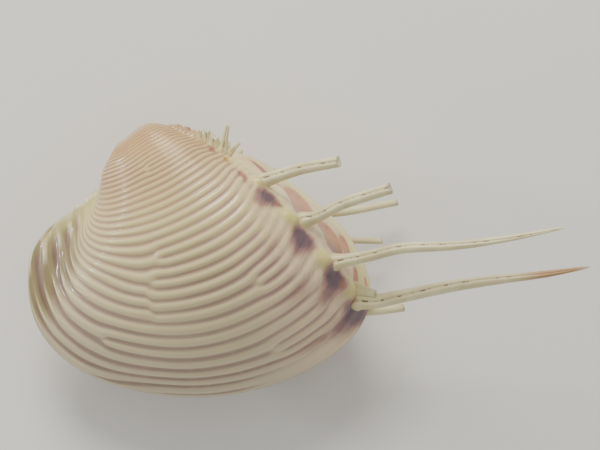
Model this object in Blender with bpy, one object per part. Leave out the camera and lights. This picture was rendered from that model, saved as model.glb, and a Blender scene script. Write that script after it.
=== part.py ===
"""Venus clam shell, closed, lying on its right valve: two grown valves and the ligament between them.

A valve grows by adding shell along its margin. So its outside is the margin outline turned about
an axis through the beak and shrunk as it turns, and its hollow is the same outline, drawn in.
Run with: blender --background --python part.py
"""
import math

import bpy
import bmesh
import numpy as np

# Lengths are in millimetres and angles in degrees. The valves are drawn in the valve frame: they meet
# in the plane z = 0, x runs to the spiny hind end, y to the beaks, and the left valve has z > 0.
MM = 0.001

# The margin where the valves meet, seen from the left, counter-clockwise from the front of the lunule.
MARGIN = (
    (-21.1, 5.5), (-24.3, 1.6), (-25.2, -3.6), (-23.6, -10.1), (-19.0, -15.2), (-10.9, -18.8),
    (0.0, -20.1), (10.9, -18.2), (19.0, -14.1), (23.6, -9.5), (24.9, -5.4), (23.7, 0.0),
    (20.0, 5.6), (12.8, 11.6), (6.9, 15.3), (-2.9, 13.4), (-12.4, 9.6),
)

# Growth: the outline turns about AXIS through APEX, shrinks at GROWTH_RATE and drifts by BEAK_DRIFT.
APEX = (-6.6, 11.7)
AXIS_HEADING = 26.3
AXIS_LIFT = -4.0
GROWTH_RATE = (0.619, 0.138, 0.242)
BEAK_DRIFT = (-1.9, 5.8)
DRIFT_END = 162.0
LAST_TURN = 174.0

# The two valves and the wall.
VALVE_GAP = 0.3
WALL = 1.6
HOLLOW_CENTRE = (0.3, -9.3)
HOLLOW_REACH = (20.0, 10.8)
HOLLOW_LAST_TURN = 98.0
AROUND = 48
OUTSIDE_STEPS = 20
HOLLOW_STEPS = 8

# Small swellings on the plain growth: the keel that carries the spines and the full cheek in front of
# the beak. The trough between the beaks holds the ligament.
KEEL_HEIGHT = 1.0
KEEL_WIDTH = 0.035
KEEL_LEAN = (0.5, 0.85)
KEEL_RISE = 50.0
KEEL_FADE = (85.0, 120.0)
CHEEK_HEIGHT = 0.95
CHEEK_LEAN = (-0.92, 0.39)
CHEEK_MIDDLE = 0.15
CHEEK_WIDTH = 0.09
CHEEK_RISE = (72.0, 98.0)
CHEEK_FADE = (125.0, 160.0)
TROUGH_MIDDLE = 0.825
TROUGH_WIDTH = 0.055
TROUGH_DEPTH = 0.85
INNER_FACE_REST = 0.05
INNER_FACE_BLEND = 0.5
INNER_FACE_RAMP = 14.0

# How the shell lies: the turns that bring its weight over its contact, and the worn flat it lies on.
REST_TURN_X = 11.2
REST_TURN_Y = -0.6
FLAT_CUT = 0.15

# Spines: place around the margin, turn back from the margin, then (x, y, z, radius) from that place.
# z is away from the other valve.
LEFT_SPINES = {
    "fourth": (0.550, 4.5, ((0, 0, 0, 1.02), (2.4, -0.1, 0.6, 1.0), (5.8, 0.6, 1.3, 0.85),
                            (13.1, 2.2, 2.9, 0.70), (20.0, 3.3, 4.5, 0.52), (26.8, 4.2, 6.0, 0.36),
                            (32.8, 5.3, 7.2, 0.16))),
    "third": (0.572, 15.5, ((0, 0, 0, 0.86), (4.6, 0.9, 1.2, 0.80), (9.6, 2.1, 2.3, 0.72),
                            (17.0, 2.6, 4.1, 0.58), (24.1, 3.6, 5.6, 0.42), (32.4, 5.3, 7.7, 0.15))),
    "second": (0.602, 26.5, ((0, 0, 0, 0.86), (5.2, 2.3, 1.6, 0.85), (11.3, 4.6, 3.3, 0.82))),
    "first": (0.630, 42.0, ((0, 0, 0, 0.90), (5.0, 1.6, 1.8, 0.88), (10.4, 2.7, 3.6, 0.80))),
    "edge_stub": (0.559, 6.5, ((0, 0, 0, 0.60), (2.8, -0.7, 0.5, 0.50))),
    "early_a": (0.6375, 59.0, ((0, 0, 0, 0.42), (1.2, 1.2, 0.6, 0.36), (2.1, 2.3, 1.0, 0.25))),
    "early_b": (0.630, 64.0, ((0, 0, 0, 0.42), (0.5, 2.2, 0.7, 0.36), (1.0, 4.4, 1.3, 0.26))),
    "early_c": (0.6245, 70.0, ((0, 0, 0, 0.38), (0.8, 1.6, 0.5, 0.32))),
    "early_d": (0.6180, 76.5, ((0, 0, 0, 0.36), (0.9, 1.9, 0.7, 0.28))),
    "early_e": (0.6130, 83.0, ((0, 0, 0, 0.34), (0.8, 1.3, 0.5, 0.26))),
}
RIGHT_SPINES = {
    "fourth": (0.536, 3.5, ((0, 0, 0, 0.64), (3.0, 0.0, 0.6, 0.61), (6.8, 0.4, 1.2, 0.58))),
    "third": (0.586, 19.0, ((0, 0, 0, 0.60), (4.4, -0.2, 0.9, 0.52), (8.8, -0.4, 1.7, 0.45))),
    "second": (0.603, 26.0, ((0, 0, 0, 0.64), (6.3, 0.5, 1.3, 0.58), (13.6, 1.8, 2.9, 0.52))),
    "first": (0.630, 43.0, ((0, 0, 0, 0.80), (2.4, 1.0, 0.9, 0.70))),
    "early_a": (0.6375, 57.0, ((0, 0, 0, 0.40), (1.1, 1.3, 0.6, 0.32))),
    "early_b": (0.6285, 65.0, ((0, 0, 0, 0.40), (0.7, 1.6, 0.6, 0.30))),
    "early_c": (0.6200, 74.0, ((0, 0, 0, 0.36), (0.7, 1.5, 0.6, 0.26))),
}
SPINE_SIDES = 8
SPINE_ROOT = 0.9
SPINE_STEPS = 2

# The ligament, a flattened strip in the trough behind the beaks: its ends and half sizes.
LIGAMENT_FRONT = (-3.4, 15.3)
LIGAMENT_BACK = (3.6, 15.9)
LIGAMENT_HALF_HEIGHT = 0.50
LIGAMENT_HALF_THICK = 0.42
LIGAMENT_STEPS = 10
LIGAMENT_SIDES = 8

SHELL_COLOUR = (0.66, 0.56, 0.45, 1.0)
SHELL_ROUGHNESS = 0.38
LIGAMENT_COLOUR = (0.10, 0.045, 0.02, 1.0)
LIGAMENT_ROUGHNESS = 0.55


def closed_curve(points):
    """Periodic cubic through the points: returns a function from 0..1 around the curve to (x, y)."""
    knots = np.array(points, float)
    count = len(knots)
    ring = np.vstack([knots, knots[:1]])
    span = np.hypot(*np.diff(ring, axis=0).T)
    rise = np.diff(ring, axis=0) / span[:, None]
    matrix = np.zeros((count, count))
    target = np.zeros((count, 2))
    for i in range(count):
        matrix[i, i - 1] += span[i]
        matrix[i, i] += 2 * (span[i] + span[i - 1])
        matrix[i, (i + 1) % count] += span[i - 1]
        target[i] = 3 * (span[i] * rise[i - 1] + span[i - 1] * rise[i])
    slope = np.linalg.solve(matrix, target)
    start = np.concatenate([[0.0], np.cumsum(span)])

    def at(u):
        along = np.mod(np.asarray(u, float), 1.0) * start[-1]
        i = np.clip(np.searchsorted(start, along, side="right") - 1, 0, count - 1)
        length = span[i][..., None]
        w = (along - start[i])[..., None] / length
        first, last = ring[i], ring[i + 1]
        leave, arrive = slope[i] * length, slope[(i + 1) % count] * length
        return (first * (1 + 2 * w) * (1 - w) ** 2 + leave * w * (1 - w) ** 2
                + last * w * w * (3 - 2 * w) + arrive * w * w * (w - 1))

    return at


MARGIN_CURVE = closed_curve(MARGIN)


def smooth_step(x):
    x = np.clip(x, 0.0, 1.0)
    return x * x * (3 - 2 * x)


def window(x, limits):
    """1 below the first limit, 0 above the second, smooth between them."""
    first, last = limits
    return 1 - smooth_step((x - first) / (last - first))


def shrink(turn):
    """Size of the outline after a turn in radians, where the margin is 1."""
    first, second, third = GROWTH_RATE
    return np.exp(-(first * turn + second * turn ** 2 / 2 + third * turn ** 3 / 6))


def grow(outline, turn):
    """Outline points (…, 2) turned about the growth axis, shrunk and drifted, as (…, 3)."""
    heading, lift = math.radians(AXIS_HEADING), math.radians(AXIS_LIFT)
    axis = np.array([math.cos(heading) * math.cos(lift), math.sin(heading) * math.cos(lift), math.sin(lift)])
    arm = np.concatenate([outline - np.array(APEX), np.zeros(outline.shape[:-1] + (1,))], axis=-1)
    angle = -turn[..., None]
    along = (arm @ axis)[..., None] * axis
    turned = along + (arm - along) * np.cos(angle) + np.cross(axis, arm) * np.sin(angle)
    drift = smooth_step(turn / math.radians(DRIFT_END))[..., None]
    centre = np.array([*APEX, 0.0]) + drift * np.array([*BEAK_DRIFT, 0.0])
    return centre + shrink(turn)[..., None] * turned


def keel_place(turn):
    """Where around the margin the spine row runs after a turn in radians."""
    degrees = np.degrees(turn)
    return np.interp(degrees, (0, 15, 27, 42, 60, 85, 174), (0.545, 0.571, 0.603, 0.628, 0.637, 0.612, 0.56))


def outside(u, turn):
    """Outer surface of the left valve: around the margin by u, back from the margin by turn."""
    u, turn = np.broadcast_arrays(np.asarray(u, float), np.asarray(turn, float))
    points = grow(MARGIN_CURVE(u), turn)
    ramp = np.clip(turn / math.radians(INNER_FACE_RAMP), 0.0, 1.0)
    trough = TROUGH_DEPTH * np.exp(-((u - TROUGH_MIDDLE) / TROUGH_WIDTH) ** 4)
    rest = (INNER_FACE_REST + trough) * ramp
    z = points[..., 2]
    z = 0.5 * (z + rest + np.sqrt((z - rest) ** 2 + (INNER_FACE_BLEND * ramp) ** 2))
    degrees = np.degrees(turn)
    keel = KEEL_HEIGHT * np.exp(-((u - keel_place(turn)) / KEEL_WIDTH) ** 2) * np.sqrt(shrink(turn))
    keel = keel * smooth_step(degrees / KEEL_RISE) * window(degrees, KEEL_FADE)
    cheek = CHEEK_HEIGHT * np.exp(-((u - CHEEK_MIDDLE) / CHEEK_WIDTH) ** 2)
    cheek = cheek * (1 - window(degrees, CHEEK_RISE)) * window(degrees, CHEEK_FADE)
    points[..., :2] += keel[..., None] * np.array(KEEL_LEAN) + cheek[..., None] * np.array(CHEEK_LEAN)
    points[..., 2] = z + VALVE_GAP / 2
    return points


def hollow(u, turn):
    """Hollow of the left valve: the outline drawn in towards a centre, so that the wall stays even."""
    u, turn = np.broadcast_arrays(np.asarray(u, float), np.asarray(turn, float))
    centre = np.array(HOLLOW_CENTRE)
    size = 1 - WALL / (shrink(turn)[..., None] * np.array(HOLLOW_REACH))
    points = grow(centre + (MARGIN_CURVE(u) - centre) * size, turn)
    points[..., 2] = np.maximum(points[..., 2], 0.0) + VALVE_GAP / 2
    return points


def rest_matrix():
    """Turn from the valve frame to the way the shell lies."""
    about_x, about_y = math.radians(REST_TURN_X), math.radians(REST_TURN_Y)
    turn_x = np.array([[1, 0, 0], [0, math.cos(about_x), -math.sin(about_x)],
                       [0, math.sin(about_x), math.cos(about_x)]])
    turn_y = np.array([[math.cos(about_y), 0, math.sin(about_y)], [0, 1, 0],
                       [-math.sin(about_y), 0, math.cos(about_y)]])
    return turn_y @ turn_x


def find_contact():
    """Lowest point of the right valve's dome as the shell lies, in the turned frame."""
    turn, u = np.meshgrid(np.radians(np.linspace(10, 110, 201)), np.linspace(0.2, 0.6, 161), indexing="ij")
    dome = outside(u, turn) * np.array([1, 1, -1])
    lying = dome.reshape(-1, 3) @ rest_matrix().T
    return lying[lying[:, 2].argmin()]


REST_MATRIX = rest_matrix()
CONTACT = find_contact()


def to_row(points):
    """Valve frame in millimetres to the row frame in metres: the worn flat's middle is the origin."""
    lying = np.asarray(points, float) @ REST_MATRIX.T - CONTACT
    lying[..., 2] -= FLAT_CUT
    return lying * MM


def mesh_from(name, points, faces):
    mesh = bpy.data.meshes.new(name)
    mesh.from_pydata([tuple(p) for p in points], [], faces)
    body = bmesh.new()
    body.from_mesh(mesh)
    bmesh.ops.recalc_face_normals(body, faces=body.faces)
    body.to_mesh(mesh)
    body.free()
    return mesh


def grid_faces(rows, columns, offset=0):
    """Quads between neighbouring rings of a stack of closed rings."""
    faces = []
    for row in range(rows - 1):
        for column in range(columns):
            beside = (column + 1) % columns
            low, high = offset + row * columns, offset + (row + 1) * columns
            faces.append((low + column, low + beside, high + beside, high + column))
    return faces


def cap_faces(ring_start, columns, middle):
    return [(ring_start + i, ring_start + (i + 1) % columns, middle) for i in range(columns)]


def valve_shell(side):
    """Points and faces of one valve without spines: outside, flat margin and hollow. side is 1 or -1."""
    u = np.arange(AROUND) / AROUND
    out_turns = np.radians(np.linspace(0, LAST_TURN, OUTSIDE_STEPS))
    in_turns = np.radians(np.linspace(0, HOLLOW_LAST_TURN, HOLLOW_STEPS))
    outer = outside(u[None, :], out_turns[:, None])
    inner = hollow(u[None, :], in_turns[:, None])
    beak, roof = outer[-1].mean(axis=0), inner[-1].mean(axis=0)
    points = np.vstack([outer.reshape(-1, 3), inner.reshape(-1, 3), beak, roof])
    points[:, 2] *= side
    inner_start = OUTSIDE_STEPS * AROUND
    beak_index = inner_start + HOLLOW_STEPS * AROUND
    faces = grid_faces(OUTSIDE_STEPS, AROUND)
    faces += grid_faces(HOLLOW_STEPS, AROUND, inner_start)
    faces += cap_faces((OUTSIDE_STEPS - 1) * AROUND, AROUND, beak_index)
    faces += cap_faces(inner_start + (HOLLOW_STEPS - 1) * AROUND, AROUND, beak_index + 1)
    for i in range(AROUND):
        beside = (i + 1) % AROUND
        faces.append((i, beside, inner_start + beside, inner_start + i))
    return to_row(points), faces


def tube(path, radii, sides):
    """Points and faces of a closed round tube along a path in millimetres."""
    path = np.array(path, float)
    along = np.gradient(path, axis=0)
    along /= np.linalg.norm(along, axis=1)[:, None]
    across = np.cross(along, (0.0, 0.0, 1.0))
    across /= np.linalg.norm(across, axis=1)[:, None]
    up = np.cross(across, along)
    angle = 2 * math.pi * np.arange(sides) / sides
    ring = (across[:, None] * np.cos(angle)[None, :, None] + up[:, None] * np.sin(angle)[None, :, None])
    points = path[:, None] + ring * np.array(radii, float)[:, None, None]
    rows = len(path)
    points = np.vstack([points.reshape(-1, 3), path[:1], path[-1:]])
    faces = grid_faces(rows, sides)
    faces += cap_faces(0, sides, rows * sides)
    faces += cap_faces((rows - 1) * sides, sides, rows * sides + 1)
    return points, faces


def smooth_path(stations, steps):
    """Catmull-Rom curve through the stations, a few steps to each span."""
    count = len(stations)
    ends = np.vstack([2 * stations[0] - stations[1], stations, 2 * stations[-1] - stations[-2]])
    x = np.linspace(0, count - 1, steps * (count - 1) + 1)
    i = np.minimum(x.astype(int), count - 2)
    w = (x - i)[:, None]
    before, first, last, after = ends[i], ends[i + 1], ends[i + 2], ends[i + 3]
    return 0.5 * (2 * first + (last - before) * w + (2 * before - 5 * first + 4 * last - after) * w ** 2
                  + (3 * first - before - 3 * last + after) * w ** 3)


def spine_tube(place, turn, stations, side):
    """One spine: it starts inside the wall, under its place on the keel."""
    step = 0.001
    turn = math.radians(turn)
    base = outside(place, turn)
    leave = np.cross(outside(place + step, turn) - base, outside(place, turn + step) - base)
    leave /= np.linalg.norm(leave)
    stations = np.array(stations, float)
    root = np.array([[*(-SPINE_ROOT * leave), stations[0, 3]]])
    stations = smooth_path(np.vstack([root, stations]), SPINE_STEPS)
    path = base + stations[:, :3]
    path[:, 2] *= side
    return tube(path, stations[:, 3], SPINE_SIDES)


def spine_object(name, spines, side):
    """All spines of one valve as one hidden mesh, to be joined to the valve."""
    points, faces = [], []
    for place, turn, stations in spines.values():
        more_points, more_faces = spine_tube(place, turn, stations, side)
        faces += [tuple(i + len(points) for i in face) for face in more_faces]
        points += list(more_points)
    spine = bpy.data.objects.new(name, mesh_from(name, to_row(np.array(points)), faces))
    bpy.context.scene.collection.objects.link(spine)
    spine.hide_render = True
    spine.display_type = "WIRE"
    return spine


def wear_flat(mesh):
    """Cut the dome off level at z = 0, where the shell lies on it."""
    body = bmesh.new()
    body.from_mesh(mesh)
    everything = body.verts[:] + body.edges[:] + body.faces[:]
    cut = bmesh.ops.bisect_plane(body, geom=everything, plane_co=(0, 0, 0), plane_no=(0, 0, -1), clear_outer=True)
    edges = [item for item in cut["geom_cut"] if isinstance(item, bmesh.types.BMEdge)]
    bmesh.ops.holes_fill(body, edges=edges)
    bmesh.ops.recalc_face_normals(body, faces=body.faces)
    body.to_mesh(mesh)
    body.free()


def material(name, colour, roughness):
    made = bpy.data.materials.new(name)
    made.use_nodes = True
    shader = made.node_tree.nodes["Principled BSDF"]
    shader.inputs["Base Color"].default_value = colour
    shader.inputs["Roughness"].default_value = roughness
    shader.inputs["Metallic"].default_value = 0.0
    made.diffuse_color = colour
    return made


def finish(name, mesh, look):
    node = bpy.data.objects.new(name, mesh)
    bpy.context.scene.collection.objects.link(node)
    mesh.materials.append(look)
    mesh.shade_smooth()
    mesh.set_sharp_from_angle(angle=math.radians(40))
    return node


def valve(name, side, spines):
    points, faces = valve_shell(side)
    mesh = mesh_from(name, points, faces)
    if side < 0:
        wear_flat(mesh)
    node = finish(name, mesh, material(name, SHELL_COLOUR, SHELL_ROUGHNESS))
    join = node.modifiers.new("spines", "BOOLEAN")
    join.operation = "UNION"
    join.solver = "EXACT"
    join.object = spine_object(name + "_spines", spines, side)
    return node


def ligament():
    """The strip that ties the valves together: a flattened, tapering tube in the trough."""
    step = np.linspace(0, 1, LIGAMENT_STEPS)
    front, back = np.array(LIGAMENT_FRONT), np.array(LIGAMENT_BACK)
    middle = front + (back - front) * step[:, None]
    swell = np.sqrt(np.clip(1 - (2 * step - 1) ** 2, 0.12, 1.0))
    angle = 2 * math.pi * np.arange(LIGAMENT_SIDES) / LIGAMENT_SIDES
    across = np.array([-(back - front)[1], (back - front)[0]]) / np.linalg.norm(back - front)
    height = LIGAMENT_HALF_HEIGHT * swell[:, None] * np.sin(angle)
    thick = LIGAMENT_HALF_THICK * swell[:, None] * np.cos(angle)
    plane = middle[:, None] + height[..., None] * across
    points = np.concatenate([plane, thick[..., None]], axis=-1).reshape(-1, 3)
    ends = np.array([[*front, 0.0], [*back, 0.0]])
    points = np.vstack([points, ends])
    faces = grid_faces(LIGAMENT_STEPS, LIGAMENT_SIDES)
    faces += cap_faces(0, LIGAMENT_SIDES, LIGAMENT_STEPS * LIGAMENT_SIDES)
    faces += cap_faces((LIGAMENT_STEPS - 1) * LIGAMENT_SIDES, LIGAMENT_SIDES, LIGAMENT_STEPS * LIGAMENT_SIDES + 1)
    mesh = mesh_from("ligament", to_row(points), faces)
    return finish("ligament", mesh, material("ligament", LIGAMENT_COLOUR, LIGAMENT_ROUGHNESS))


def main():
    for old in list(bpy.data.objects):
        bpy.data.objects.remove(old)
    valve("left_valve", 1, LEFT_SPINES)
    valve("right_valve", -1, RIGHT_SPINES)
    ligament()


main()
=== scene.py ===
"""Looks of a closed venus clam shell: two ribbed valves, their spines and the ligament."""

import math

import bpy
import numpy as np
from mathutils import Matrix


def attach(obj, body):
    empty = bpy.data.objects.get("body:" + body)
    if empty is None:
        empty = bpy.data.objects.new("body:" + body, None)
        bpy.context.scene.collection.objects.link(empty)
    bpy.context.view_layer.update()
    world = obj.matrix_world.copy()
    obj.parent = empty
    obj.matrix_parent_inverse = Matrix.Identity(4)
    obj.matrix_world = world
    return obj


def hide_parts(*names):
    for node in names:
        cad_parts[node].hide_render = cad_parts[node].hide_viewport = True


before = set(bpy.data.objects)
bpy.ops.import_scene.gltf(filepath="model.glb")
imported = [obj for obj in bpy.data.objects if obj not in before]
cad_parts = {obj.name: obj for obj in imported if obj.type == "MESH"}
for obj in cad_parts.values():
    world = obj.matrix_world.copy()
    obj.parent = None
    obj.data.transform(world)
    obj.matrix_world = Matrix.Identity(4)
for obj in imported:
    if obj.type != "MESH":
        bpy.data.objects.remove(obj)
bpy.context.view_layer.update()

MM = 0.001

# ----------------------------------------------------------
# Growth of a valve. Lengths are in millimetres and turns in degrees, in the valve frame: the valves
# meet in the plane z = 0, x runs to the spiny hind end, y to the beaks, the left valve has z > 0.
# u is the place around the margin, from 0 to 1, and t the turn back from the margin to the beak.
# ----------------------------------------------------------

MARGIN = (
    (-21.1, 5.5), (-24.3, 1.6), (-25.2, -3.6), (-23.6, -10.1), (-19.0, -15.2), (-10.9, -18.8),
    (0.0, -20.1), (10.9, -18.2), (19.0, -14.1), (23.6, -9.5), (24.9, -5.4), (23.7, 0.0),
    (20.0, 5.6), (12.8, 11.6), (6.9, 15.3), (-2.9, 13.4), (-12.4, 9.6),
)
APEX = (-6.6, 11.7)
AXIS_HEADING = 26.3
AXIS_LIFT = -4.0
GROWTH_RATE = (0.619, 0.138, 0.242)
BEAK_DRIFT = (-1.9, 5.8)
DRIFT_END = 162.0
LAST_TURN = 174.0
VALVE_GAP = 0.3
WALL = 1.6
HOLLOW_CENTRE = (0.3, -9.3)
HOLLOW_REACH = (20.0, 10.8)
HOLLOW_LAST_TURN = 98.0
KEEL_TURNS = (0, 15, 27, 42, 60, 85, 174)
KEEL_PLACES = (0.545, 0.571, 0.603, 0.628, 0.637, 0.612, 0.56)
KEEL_HEIGHT = 1.0
KEEL_WIDTH = 0.035
KEEL_LEAN = (0.5, 0.85)
KEEL_RISE = 50.0
KEEL_FADE = (85.0, 120.0)
CHEEK_HEIGHT = 0.95
CHEEK_LEAN = (-0.92, 0.39)
CHEEK_MIDDLE = 0.15
CHEEK_WIDTH = 0.09
CHEEK_RISE = (72.0, 98.0)
CHEEK_FADE = (125.0, 160.0)
TROUGH_MIDDLE = 0.825
TROUGH_WIDTH = 0.055
TROUGH_DEPTH = 0.85
INNER_FACE_REST = 0.05
INNER_FACE_BLEND = 0.5
INNER_FACE_RAMP = 14.0
REST_TURN_X = 11.2
REST_TURN_Y = -0.6
FLAT_CUT = 0.15

# Ribs: how far apart the grooves lie, by turn, counted in front of the forks, and where a groove forks,
# as (u, t, 1 or -1): 1 where one becomes two towards the hind end, -1 where two become one.
PITCH_TURNS = (0, 8, 15, 34, 46, 60, 76, 105, 174)
PITCHES = (3.0, 3.4, 6.0, 4.0, 5.2, 3.2, 2.9, 3.3, 9.0)
FIRST_GROOVE = 1.2
LEFT_FORKS = ((0.435, 11.5, 1), (0.212, 17.5, 1), (0.465, 31.8, 1), (0.302, 41.5, 1),
              (0.325, 49.5, 1), (0.495, 6.5, -1), (0.52, 15.3, -1), (0.375, 84.0, 1))
RIGHT_FORKS = ((0.34, 12.5, 1), (0.19, 18.0, 1), (0.41, 33.0, 1), (0.24, 42.0, 1), (0.29, 50.0, 1),
               (0.47, 8.0, -1), (0.52, 16.0, -1), (0.44, 82.0, 1))
FORK_WIDTH = 0.018
FORK_SPAN = 4.5
FORK_CALM = 0.4
RIB_DEPTH = 0.16
FRONT_RIB_EXTRA = 0.9
RIB_WANDER = 0.05
RIB_UNEVENNESS = 0.12
THIN_SHELL = (0.8, 2.2)
GROOVE_NARROWNESS = 1.5
FRONT_CREST_SHARPNESS = 3.2
LONGEST_RIB_STEP = 2.3

# How growth lines leave the lines of equal t: towards the front and past the spine row they pass later.
FRONT_BEND_START = 0.165
FRONT_BEND_EVEN = 10.0
FRONT_BEND_STEEP = 8.0
FRONT_BEND_REACH = 0.138
FRONT_BEND_POWER = 6
BELLY_END = 0.30
BELLY_SOFTNESS = 0.12
BELLY_BEND_TURNS = (0, 42, 55)
BELLY_BENDS = (4, -4, 0)
LATE_BEND = -8.0
LATE_BEND_START = 0.33
LATE_BEND_FADE = (18.0, 27.0)
HIND_BEND = 230.0
HIND_BEND_WIDTH = 0.018
HIND_BEND_TURNS = (0, 20, 45, 90)
HIND_BEND_LEADS = (0.0, 0.030, 0.045, 0.040)
HIND_BEND_START = 8.0

# The healed break of the left valve: ribs step across it.
BREAK_PLACE = 0.288
BREAK_WIDTH = 0.005
BREAK_REACH = 0.05
BREAK_STEP = 0.2
BREAK_TURNS = (27.0, 31.0, 37.0, 42.0)

# How much of the ribs' depth each part of the valve takes away: the parts are the weights of masks().
CALM = {"hind": 0.85, "lunule": 0.6, "hinge": 1.0, "shoulder": 0.8, "brink": 0.5, "bald": 0.9, "keel": 0.5}
LIP_CALM = 0.6
MARGIN_CALM = 0.75
BEAK_CALM = 0.2

# Mesh counts.
OUTSIDE_ROWS = 285
HOLLOW_ROWS = 20
COLUMNS = 312

# Spines: place around the margin, turn, then (x, y, z, radius) from that place. z is away from the
# other valve.
LEFT_SPINES = {
    "fourth": (0.550, 4.5, ((0, 0, 0, 1.05), (2.4, -0.1, 0.6, 1.05), (5.8, 0.6, 1.3, 0.98),
                            (13.1, 2.2, 2.9, 0.88), (20.0, 3.3, 4.5, 0.70), (26.8, 4.2, 6.0, 0.50),
                            (32.8, 5.3, 7.2, 0.18))),
    "third": (0.572, 15.5, ((0, 0, 0, 0.88), (4.6, 0.9, 1.2, 0.85), (9.6, 2.1, 2.3, 0.80),
                            (17.0, 2.6, 4.1, 0.68), (24.1, 3.6, 5.6, 0.50), (32.4, 5.3, 7.7, 0.17))),
    "second": (0.602, 26.5, ((0, 0, 0, 0.86), (2.2, 0.7, 0.7, 0.80), (5.7, 2.5, 1.7, 0.82),
                             (12.3, 4.7, 3.5, 0.82))),
    "first": (0.630, 42.0, ((0, 0, 0, 0.90), (5.2, 1.8, 1.8, 0.86), (10.8, 2.95, 3.6, 0.82))),
    "edge_stub": (0.559, 6.5, ((0, 0, 0, 0.70), (2.8, -0.7, 0.5, 0.58))),
    "early_a": (0.6345, 60.5, ((0, 0, 0, 0.40), (0.8, 0.8, 0.35, 0.30), (1.6, 1.65, 0.7, 0.25))),
    "early_b": (0.630, 64.0, ((0, 0, 0, 0.46), (0.25, 1.7, 0.5, 0.36), (0.68, 3.75, 1.1, 0.27))),
    "early_c": (0.6245, 70.0, ((0, 0, 0, 0.36), (0.1, 1.15, 0.4, 0.28))),
    "early_d": (0.6200, 74.0, ((0, 0, 0, 0.30), (-0.1, 1.6, 0.5, 0.26))),
    "early_e": (0.6165, 79.5, ((0, 0, 0, 0.26), (0.1, 1.05, 0.4, 0.20))),
}
RIGHT_SPINES = {
    "fourth": (0.536, 3.5, ((0, 0, 0, 0.64), (3.0, 0.0, 0.6, 0.61), (6.8, 0.4, 1.2, 0.58))),
    "third": (0.586, 19.0, ((0, 0, 0, 0.60), (4.4, -0.2, 0.9, 0.52), (8.4, -0.4, 1.7, 0.45))),
    "second": (0.603, 26.0, ((0, 0, 0, 0.64), (6.3, 0.5, 1.3, 0.58), (13.6, 1.8, 2.9, 0.52))),
    "first": (0.630, 43.0, ((0, 0, 0, 0.80), (1.6, 0.5, 0.7, 0.70))),
    "early_a": (0.6375, 57.0, ((0, 0, 0, 0.40), (0.5, 0.5, 0.6, 0.32))),
    "early_b": (0.6285, 65.0, ((0, 0, 0, 0.40), (0.3, 0.6, 0.6, 0.30))),
    "early_c": (0.6200, 74.0, ((0, 0, 0, 0.36), (0.3, 0.5, 0.6, 0.26))),
}
# Spines out of the ordinary: wider than thick, ending in two prongs, pointed, or without a seam.
FLATTENED = {"early_b": 1.3, "early_c": 1.9, "early_d": 1.6}
PRONGED = ("early_c", "early_d", "early_e")
POINTED = ("left_fourth", "left_third")
SEAMLESS = ("edge_stub",)
SPINE_ROOT = 0.9
SPINE_SIDES = 40
SPINE_RINGS_PER_MM = 3.0
SPINE_END_ROWS = 3
SPINE_FLARE = 0.55
SPINE_TAPER_LENGTH = 1.2
SEAM_WIDTH = 0.22
SEAM_DEPTH = 0.17
SEAM_LIP_ANGLE = 0.5
SEAM_LIP_WIDTH = 0.28
SEAM_LIP_HEIGHT = 0.04
END_RAGGEDNESS = 0.22
END_PRONG = 0.9
END_HOLLOW = 0.3
TIP_BULGE = 0.1

# Lip at the border of the lunule: where its crest runs, how far it stands out and how many scales it
# has passed, each against the turn t.
LIP_TURNS = (5.0, 12.0, 20.0, 35.0, 50.0, 62.0, 72.0, 82.0, 95.0, 112.0)
LIP_PLACES = (0.014, 0.016, 0.018, 0.020, 0.024, 0.040, 0.066, 0.095, 0.125, 0.140)
LIP_HEIGHTS = (0.0, 0.60, 0.95, 1.15, 1.25, 1.05, 0.75, 0.40, 0.25, 0.0)
LIP_COUNTS = (0.0, 0.0, 1.25, 2.0, 2.9, 5.0, 7.0, 9.0, 12.0, 15.0)
LIP_WIDTH = 0.020
LIP_BEAK_WIDENING = 1.3
LIP_LEAN = (-0.60, 0.78, 0.18)

# Marks of a valve, as (u, t, half length in u, half width in t, slope, strength): the slope is how much
# t falls over a step of 1 in u along the mark.
STAINS = ((0.595, 42.3, 0.015, 4.4, 110, 0.9), (0.572, 46.0, 0.022, 3.4, 110, 0.5),
          (0.570, 28.4, 0.014, 4.2, 60, 1.0), (0.551, 30.2, 0.020, 3.2, 20, 0.5),
          (0.553, 15.8, 0.011, 3.8, 0, 1.0), (0.533, 15.8, 0.022, 3.2, 0, 0.55),
          (0.538, 3.8, 0.012, 4.6, 0, 1.0), (0.520, 4.6, 0.022, 3.4, 0, 0.55),
          (0.480, 7.0, 0.034, 2.2, 0, 0.34), (0.505, 23.0, 0.034, 2.0, 0, 0.36),
          (0.520, 37.0, 0.030, 2.0, 0, 0.30))
STAIN_DEPTH = 0.12
SPOTS = ((0.606, 71.0, 0.010, 2.2, 60, 1.2), (0.600, 54.5, 0.012, 3.0, 60, 0.8),
         (0.605, 91.0, 0.020, 2.2, 60, 0.8), (0.616, 76.5, 0.010, 1.2, 60, 0.7),
         (0.585, 53.0, 0.012, 1.5, 60, 0.4))
OCHRE = ((0.610, 62.5, 0.007, 1.6, 60, 1.1), (0.602, 77.5, 0.014, 1.0, 60, 0.6))
KNOBS = ((0.552, 9.8, 0.011, 3.4, 0, 1.0), (0.562, 20.3, 0.011, 3.4, 0, 1.0),
         (0.584, 34.2, 0.013, 3.6, 80, 0.9), (0.613, 45.6, 0.009, 2.4, 120, 0.7))
KNOB_HEIGHT = 0.95
THREADS = ((0.150, 32.0, 0.030, 22.0, 0, 0.9), (0.562, 45.0, 0.030, 16.0, 60, 1.3),
           (0.535, 24.0, 0.024, 16.0, 60, 1.1))
THREAD_HEIGHT = 0.055
THREAD_CALM = 0.45
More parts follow.
